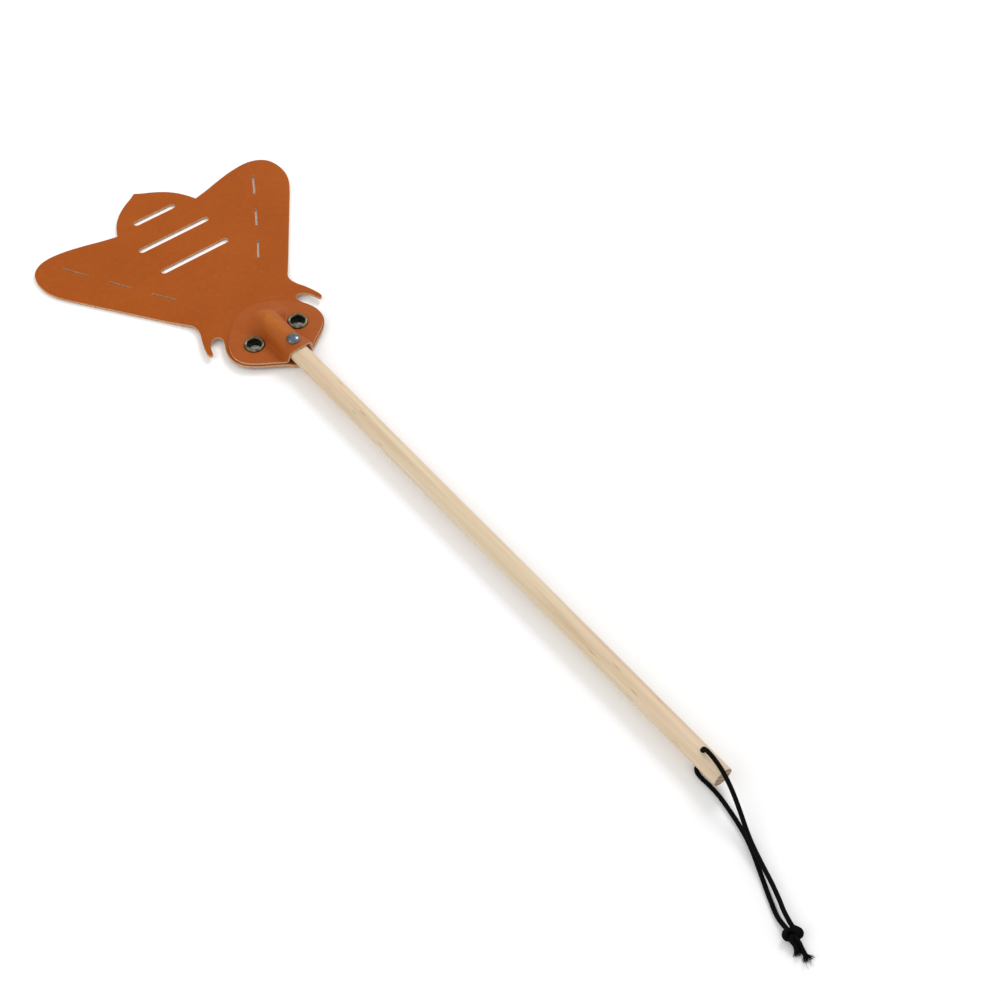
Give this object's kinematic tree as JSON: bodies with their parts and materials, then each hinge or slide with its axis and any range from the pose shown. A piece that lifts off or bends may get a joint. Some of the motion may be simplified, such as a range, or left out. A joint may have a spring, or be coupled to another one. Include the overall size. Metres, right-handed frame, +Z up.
{
  "type": "fly swatter",
  "caption": "Leather fly swatter cut as a fly, with slotted wings, a face patch with eyelet eyes, a wooden dowel handle and a braided hanging cord.",
  "frame": {"origin": "middle of the footprint of the leather and dowel, on the table the swatter lies on", "axes": "+Z up from the table, +Y along the dowel towards the blade's tail tip, +X across the blade"},
  "size_m": [0.1842, 0.6539, 0.0205],
  "materials": {
    "blade_leather": "satin tan grain side up, pale raw cut edges, suede underside",
    "patch_leather": "satin tan grain side up, pale raw cut edges",
    "dowel_wood": "unfinished sanded pale hardwood",
    "eyelet_brass": "antique brass plating, satin",
    "rivet_nickel": "polished nickel plating",
    "black_cord": "braided matt cord with frayed ends"
  },
  "bodies": {
    "handle": {"handle": "dowel_wood", "blade_head": "blade_leather", "face_patch": "patch_leather", "eyelet_left": "eyelet_brass", "eyelet_right": "eyelet_brass", "eyelet_washer_left": "eyelet_brass", "eyelet_washer_right": "eyelet_brass", "rivet_cap": "rivet_nickel", "rivet_back": "rivet_nickel", "cord_inside_handle": "black_cord", "cord_upper_strand": "black_cord", "cord_lower_strand": "black_cord", "cord_knot": "black_cord", "cord_long_tail": "black_cord", "cord_short_tail": "black_cord"},
    "blade": {"blade_wings": "blade_leather"}
  },
  "joints": [
    {"name": "blade_flex", "type": "hinge", "parent": "handle", "child": "blade", "pos_m": [0, 0.153, 0.0019], "axis": [1, 0, 0], "range_deg": [-35, 35], "stiffness_Nm_per_rad": 0.15}
  ]
}
